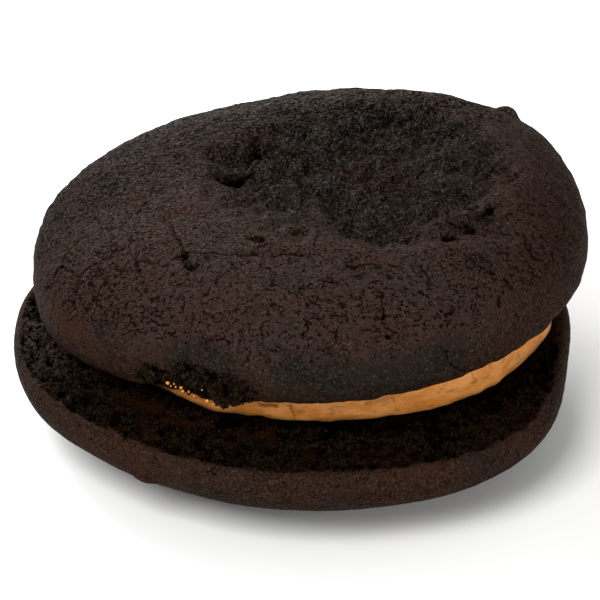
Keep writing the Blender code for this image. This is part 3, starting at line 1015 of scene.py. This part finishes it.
def upperEdgeLength(points, cracks, folds, holes):
    # Shorter edges in the sunken middle and the torn place, the shortest at cracks, creases and pits.
    onDome = points[:, 2] > 1e-6
    length = np.where(points[:, 1] < upperEdges["backFrom"], upperEdges["front"], upperEdges["back"])
    length = np.where(onDome, length, upperEdges["base"])
    inHollow = outOf(points - (*hollow["centre"], 0)) < upperEdges["hollowReach"]
    length = np.where(onDome & inHollow, upperEdges["hollow"], length)
    turn = np.degrees(turnOf(points))
    nearTorn = (turn > torn["turns"][0] - 2) & (turn < torn["turns"][1] + 2)
    low = points[:, 2] < torn["top"] + 0.0012
    length = np.where(onDome & nearTorn & low, upperEdges["torn"], length)
    normals = np.tile((0.0, 0.0, 1.0), (len(points), 1))
    beside = upperEdges["beside"]
    gaps = [alongPath(points, normals, path, 2 * beside)[0] for path in cracks]
    length = np.where(np.min(gaps, axis=0) < beside, upperEdges["crack"], length)
    gaps = [alongPath(points, normals, path, width + 2 * beside)[0] - width for width, _, path in folds]
    gaps += [np.linalg.norm(points - place, axis=1) - radius for place, radius, _ in holes]
    return np.where(np.min(gaps, axis=0) < beside, upperEdges["crease"], length)


def buildUpperCake():
    cracks = [pathOn(ontoUpper, pixels) for part in crackPaths.values() for pixels in part]
    folds = [(width, depth, pathOn(ontoUpper, pixels)) for width, depth, pixels in creases.values()]
    holes = [(ontoUpper(px, py), radius, depth) for px, py, radius, depth in pits]
    mesh = spindleMesh(upperForm, lambda points: upperEdgeLength(points, cracks, folds, holes), 14)
    points, normals = readPoints(mesh)
    height = points[:, 2]
    aboveEdge = smoothStep(height, 0, upperCake["edgeHeight"] / 4)
    onTop = smoothStep(height, upperCake["edgeHeight"], upperCake["thickness"] * 0.6)
    sunk, inside = hollowDepth(points)
    tornHere = tornShare(points) * aboveEdge
    openHere = np.maximum(tornHere, painted(points, normals, openPatches, ontoUpper, openBrush))
    crumbHeight, crumbShade = crumbRelief(points, openHere)
    back = smoothStep(points[:, 1] - 0.4 * points[:, 0], -0.014, 0.024)
    farRim = smoothStep(points[:, 1] + bumpy(points, (0.006, 0.012, 27)), 0.006, 0.04)
    wrinkles, foldShade = wrinkleRelief(points, np.clip(inside + 0.15 * back * (1 - farRim), 0, 1))
    grainy = np.clip(0.5 * inside + 0.55 * back, 0, 1) * onTop
    plain, rough = upperSkin["pimpleHeight"]
    pimples = bumpy(points, *upperSkin["pimples"]) * (plain + (rough - plain) * grainy)
    # Cracks, creases, pits and ledges go down from there.
    wandering = drift(points, *crackSize["drift"])
    aside, there = crackMarks(wandering, normals, cracks)
    cracked = there * bell(aside / crackSize["width"])
    folded = np.zeros(len(points))
    for width, depth, path in folds:
        gap = alongPath(wandering, normals, path, 5 * width)[0]
        folded = np.maximum(folded, depth * bell(gap / width))
    holed = np.zeros(len(points))
    for place, radius, depth in holes:
        holed += depth * bell(np.linalg.norm(wandering - place, axis=1) / radius)
    relief = bumpy(points, crustSwell, *upperSkin["uneven"]) + pimples + lump(points, upperCake["nodule"])
    relief += (wrinkles - sunk) * onTop - tornHere * torn["depth"]
    relief -= crackSize["depth"] * cracked + holed + folded + ledgeDrop(wandering, normals)
    points = points + normals * ((relief * aboveEdge + crumbHeight)[:, None])
    points[:, 2] -= tornNub(points)
    # Darker and browner toward the base, where the crust faces down, and toward the sides, most on the right
    # away from the key light: a browner tone with painted shade.
    shadedSides = np.where(points[:, 0] > 0, 0.85, 0.55) * smoothStep(np.abs(points[:, 0]), 0.018, 0.042)
    leftOrBack = np.maximum(0.6 * smoothStep(-points[:, 0], 0.014, 0.032), back)
    smooth = 1.45 * (1 - smoothStep(height + bumpy(points, (0.0015, 0.006, 17)), 0.006, 0.0105))
    # Painted shade in the cracks, pits and creases.
    creaseShade = 0.5 * cracked + holed / 0.0005 + 0.7 * folded / 0.0008
    marks = {
        "crumbShare": openHere,
        "depth": np.clip(creaseShade + crumbShade + foldShade * onTop, 0, 1),
        "grainy": grainy,
        # the sunken middle's tone, with painted shade
        "sunkenToneAndShade": 0.8 * inside * onTop,
        "whole": 0.35 * inside - 0.4 * leftOrBack * (1 - inside) + smooth,
        # browner tone, with painted shade low down and at the sides
        "brown": np.maximum(1 - smoothStep(height, 0.002, 0.012), shadedSides),
        # painted sheen on the far rim
        "pale": farRim * onTop * (1 - 0.5 * inside),
        "lit": np.full(len(points), 0.1),
        # grey patches, and painted shade on the low front band and round the right holes
        "ashAndShade": painted(points, normals, ashAndShadeStains, ontoUpper, stainBrush),
        "rust": painted(points, normals, rustStains, ontoUpper, stainBrush),
        "crackSide": aside * 1000,      # in millimetres
        "crackNear": there,
    }
    settled = finishPiece("upperCakeCrust", "top_cake", mesh, points, marks, crustUpper, upperPose())
    return settled, openHere


# The lower cake: crust below, open crumb on the face wherever the filling leaves it bare.
crumbFace = {
    "lap": (0.0008, 192, 22),       # the crumb laps over the rim at the left: width, turn, spread
    "ragged": ((0.0005, 0.0022, 8), (0.0004, 0.0008, 6)),
    "pimples": (0.00006, 0.0012, 3),
    "shade": 0.42,      # how much darker it is under the upper cake
}
lowerEdges = {
    "face": 0.0005,
    "faceBack": 0.0009,
    "faceHidden": 0.006,
    "side": 0.0008,
    "sideBack": 0.0011,
    "sideLow": 0.0022,
    "rest": 0.005,
}
# Smooth brown patches of the crumb face, written like the stains.
crumbStains = {
    "left": (0.95, 0.0022, ((133, 402), (148, 408))),
    "middle": (0.9, 0.0016, ((168, 417), (190, 423))),
    "right": (0.85, 0.0014, ((250, 434), (270, 439))),
}


def ontoFace(px, py):
    # The place on the lower cake's crumb face that shows at a pixel.
    points = photoRay(px, py)
    return points[np.argmax(points[:, 2] < faceHeight - lowerCake["faceDish"])]


def underUpper(points):
    # How much of the light the upper cake keeps from the crumb face.
    above = placedBy(upperPose().inverted(), points)
    reach = upperCake["radius"] * outline(turnOf(above), upperCake["waves"])
    return 1 - smoothStep(outOf(above) / reach, 0.86, 0.97)


def lowerEdgeLength(points):
    height = points[:, 2]
    front = points[:, 1] < 0.012
    face = np.where(front, lowerEdges["face"], lowerEdges["faceBack"])
    face = np.where(outsideFilling(points, 0.0005) > 0, face, lowerEdges["faceHidden"])
    side = np.where(front, lowerEdges["side"], lowerEdges["sideBack"])
    side = np.where(height < 0.0015, lowerEdges["sideLow"], side)
    side = np.where(height <= 1e-6, lowerEdges["rest"], side)
    return np.where(height > faceHeight - 1e-6, face, side)


def litShare(points):
    turn, spread = grains["litAt"]
    return bell((np.degrees(turnOf(points)) % 360 - turn) / spread)


def buildLowerCake():
    mesh = spindleMesh(lowerForm, lowerEdgeLength, 14)
    points, normals = readPoints(mesh)
    height = points[:, 2]
    onFace = height > faceHeight - 0.000045
    aboveRest = smoothStep(height, 0, lowerCake["thickness"] / 4)
    lit = litShare(points)
    inside = faceReach(turnOf(points)) - outOf(points)
    width, turn, spread = crumbFace["lap"]
    lap = width * bell((np.degrees(turnOf(points)) % 360 - turn) / spread)
    ragged = inside + lap + bumpy(points, *crumbFace["ragged"])
    nearFace = smoothStep(height, faceHeight - 0.0014, faceHeight - 0.0004)
    onRim = nearFace * smoothStep(ragged, 0.0001, 0.0007)
    crumbly = np.where(onFace, smoothStep(ragged, -0.0002, 0.0008), onRim)
    rimShown = nearFace * smoothStep(ragged, -0.0002, 0.001)
    shown = np.where(onFace, smoothStep(ragged, -0.0007, 0.0011), rimShown)
    smooth = painted(points, normals, crumbStains, ontoFace, stainBrush)
    crumbly = crumbly * np.where(onFace, outsideFilling(points, 0.0009), 1) * (1 - 0.7 * smooth)
    crumbHeight, crumbShade = crumbRelief(points, crumbly)
    x, y, radius, rise = lowerCake["bridge"]
    bridge = rise * np.maximum(1 - outOf(points - (x, y, 0)) / radius, 0)
    bare = outsideFilling(points, 0.0021)
    dish = smoothStep(inside, 0, 0.0014) * bare * (bridge - lowerCake["faceDish"])
    swell = aboveRest * bumpy(points, crustSwell) * np.where(onFace, bare, 1)
    pimples = aboveRest * bumpy(points, crumbFace["pimples"])
    relief = swell + np.where(onFace, dish, pimples + lump(points, lowerCake["bump"]))
    points = points + normals * ((relief + crumbHeight)[:, None])
    points[:, 2] = np.maximum(points[:, 2], 0)
    shade = crumbFace["shade"] * underUpper(points) * shown * (1 - smooth)
    nothing = np.zeros(len(points))
    marks = {
        **dict.fromkeys(("grainy", "sunkenToneAndShade", "pale", "crackNear"), nothing),
        "crumbShare": shown,
        # painted shade in the crumb's crevices and pores and under the upper cake
        "depth": np.clip(crumbShade + shade, 0, 1),
        "whole": nothing + 0.9,
        "brown": nothing + 0.75,
        "lit": lit,
        "ashAndShade": 0.5 * smoothStep(noiseAt(points, 0.016, 12), 0.05, 0.35) * (1 - shown),
        "rust": np.maximum(smooth, 0.35 * smoothStep(noiseAt(points, 0.018, 22), 0.05, 0.35)),
        "crackSide": nothing + 1.2,
    }
    settled = finishPiece("lowerCakeCrust", "bottom_cake", mesh, points, marks, crustLower)
    return settled, shown * (1 - smooth)


# The filling: an uneven side, drawn in at both ends, with its own marks as pixels of the photo.
creamSide = {
    "waves": (0.00028, 0.0026, 4),
    "lyingWaves": (0.0004, 0.006, 0),
    "swell": 0.0007,       # thicker towards its foot
    "leftTaper": 0.0024,
    "rightTaper": 0.003,
    "footShadeAmount": 0.7,
    "edge": 0.0005,
    "edgeBack": 0.001,
    "edgeHidden": 0.008,
}
creamStains = {
    "topStain": (0.95, 0.00035, ((260, 403), (268, 404), (277, 405))),
    "topPatch": (0.6, 0.0005, ((366, 401), (378, 399), (388, 396))),
    "farTop": (0.6, 0.0003, ((391, 395), (393, 400))),
    "crack": (0.95, 0.00026, ((291, 404), (293, 410), (296, 417))),
    "crackFoot": (0.45, 0.0004, ((297, 409), (303, 409))),
    "rightCrack": (0.6, 0.00018, ((392, 394), (394, 400))),
    "farCrack": (0.45, 0.00025, ((470, 373), (472, 379))),
    "lowPatch": (0.3, 0.0009, ((330, 417), (350, 416))),
}


def ontoFilling(px, py):
    points = photoRay(px, py)
    away, reach = fillingRoom(points)
    return points[np.argmax(away < reach + filling["bulge"])]


def fillingEdgeLength(points):
    away, reach = fillingRoom(points)
    side = np.where(points[:, 1] < 0.01, creamSide["edge"], creamSide["edgeBack"])
    return np.where(away > reach * 0.985, side, creamSide["edgeHidden"])


def buildFilling():
    mesh = spindleMesh(fillingForm, fillingEdgeLength, 12)
    points, normals = readPoints(mesh)
    low, high = fillingLevels(points[:, 0], points[:, 1])
    level = (points[:, 2] - low) / (high - low)
    onSide = smoothStep(level, -0.05, 0.12) * (1 - smoothStep(level, 0.75, 0.98))
    swell = bumpy(points * (1, 1, 2), creamSide["lyingWaves"]) + bumpy(points, creamSide["waves"])
    swell += creamSide["swell"] * (1 - smoothStep(level, 0.3, 0.9))
    leftEnd = (1 - smoothStep(points[:, 0], -0.027, -0.013)) * (points[:, 1] < 0)
    rightEnd = smoothStep(points[:, 0], 0.029, 0.039) * (1 - smoothStep(points[:, 1], 0.012, 0.026))
    swell -= creamSide["leftTaper"] * leftEnd + creamSide["rightTaper"] * rightEnd
    stain = painted(points, normals, creamStains, ontoFilling, creamBrush)
    points = points + normals * ((swell * onSide)[:, None])
    # Painted shade along the foot of the filling, where its side curves under toward the crumb.
    footShade = 1 - smoothStep(points[:, 2] - low + bumpy(points, (0.0005, 0.003, 7)), 0.0002, 0.0014)
    marks = {"stain": stain, "footShade": creamSide["footShadeAmount"] * footShade}
    finishPiece("creamFillingWedge", "filling", mesh, points, marks, creamSurface)


def grainMesh(count):
    # Doubles one lump until there are enough of them, then drops the rest.
    mesh = bmesh.new()
    bmesh.ops.create_icosphere(mesh, subdivisions=1, radius=1)
    each = len(mesh.verts)
    while len(mesh.verts) < count * each:
        bmesh.ops.duplicate(mesh, geom=mesh.verts[:] + mesh.edges[:] + mesh.faces[:])
    mesh.verts.ensure_lookup_table()
    surplus = [mesh.verts[index] for index in range(count * each, len(mesh.verts))]
    bmesh.ops.delete(mesh, geom=surplus, context="VERTS")
    mesh.verts.ensure_lookup_table()
    return mesh, each


def scatterGrains(name, places, normals, lit, sizes, material, slot, draw):
    mesh, each = grainMesh(len(places))
    for index, (place, normal) in enumerate(zip(places, normals)):
        size = sizes[0] + (sizes[1] - sizes[0]) * draw.random() ** 2
        turned = Euler([draw.uniform(0, 2 * math.pi) for _ in range(3)]).to_matrix()
        stretch = Vector([draw.uniform(0.7, 1.25) for _ in range(3)])
        centre = Vector(place) + Vector(normal) * size * draw.uniform(-0.1, 0.5)
        for number in range(index * each, (index + 1) * each):
            vertex = mesh.verts[number]
            vertex.co = centre + turned @ (vertex.co * stretch) * size * draw.uniform(0.75, 1.2)
    piece = addPiece(name, mesh, material)
    piece.data.attributes.new("lit", "FLOAT", "POINT").data.foreach_set("value", np.repeat(lit, each))


def pickPlaces(settled, share, count, draw):
    # Seeded picks among the points where the crumb is open, with more of them in clusters.
    points, normals = settled
    bare = np.nonzero(share > 0.45)[0]
    crowd = noiseAt(points[bare], 0.0022, 14)
    order = list(range(len(bare)))
    draw.shuffle(order)
    chosen = []
    for index in order:
        if len(chosen) == count:
            break
        if draw.random() < 0.35 + 1.6 * crowd[index]:
            chosen.append(bare[index])
    return points[chosen], normals[chosen]


# Small crumbs of filling caught on the torn edge, as pixels of the photo.
creamCrumbs = {
    "pixels": (
        (168, 383), (171, 386), (174, 384), (176, 387), (181, 388), (183, 391),
        (189, 392), (194, 396), (202, 390), (207, 401), (213, 404),
    ),
    "sizes": (0.00016, 0.0004),
}


def addGrains(lowerOpen, upperOpen):
    draw = random.Random(grains["seed"])
    look = (grains["sizes"], crumbGrains, "crust", draw)
    places, normals = pickPlaces(*lowerOpen, grains["faceCount"], draw)
    scatterGrains("lowerCrumbGrains", places, normals, litShare(places), *look)
    places, normals = pickPlaces(*upperOpen, grains["tornCount"], draw)
    scatterGrains("tornCrumbGrains", places, normals, np.full(len(places), grains["tornLit"]), *look)
    places = placedBy(upperPose(), pathOn(ontoUpper, creamCrumbs["pixels"]))
    normals = places / np.linalg.norm(places, axis=1)[:, None]
    look = (creamCrumbs["sizes"], creamSurface, "cream", draw)
    scatterGrains("creamCrumbs", places, normals, np.zeros(len(places)), *look)


upperOpen = buildUpperCake()
lowerOpen = buildLowerCake()
buildFilling()
addGrains(lowerOpen, upperOpen)

studio = {
    "floorSize": 6.0,
    "floorColour": (0.95, 0.95, 0.94, 1),
    "floorDim": (0.931, 0.931, 0.9212, 1),
    "world": 0.42,
    # each light: place, size, power
    "lights": {
        "key": ((-0.24, -0.4, 0.55), 0.36, 4.3),
        "low": ((0.46, -0.58, 0.2), 0.45, 2.2),
        "rim": ((-0.24, 0.55, 0.3), 0.5, 7.0),
    },
    "lightsAimAt": (0, 0, 0.02),
}


def addFloor():
    mesh = bmesh.new()
    bmesh.ops.create_grid(mesh, x_segments=1, y_segments=1, size=studio["floorSize"] / 2)
    data = bpy.data.meshes.new("floor")
    mesh.to_mesh(data)
    mesh.free()
    material, tree, shader, coords = newMaterial("floorPaper")
    colour = mixColour(speckle(coords, 0.025, 3.0), studio["floorColour"], studio["floorDim"])
    tree.links.new(colour, shader.inputs["Base Color"])
    shader.inputs["Roughness"].default_value = 0.9
    shader.inputs["Specular IOR Level"].default_value = 0.1
    data.materials.append(material)
    addObject("floor", data)


def addLights():
    for name, (place, size, power) in studio["lights"].items():
        lamp = bpy.data.lights.new(name, "AREA")
        lamp.size = size
        lamp.energy = power
        addObject(name, lamp, place, Vector(place) - Vector(studio["lightsAimAt"]))
    world = bpy.data.worlds.new("studio")
    world.use_nodes = True
    background = world.node_tree.nodes["Background"]
    background.inputs[0].default_value = (1, 1, 1, 1)
    background.inputs[1].default_value = studio["world"]
    bpy.context.scene.world = world


addFloor()
addLights()
print("floor and lights ready")
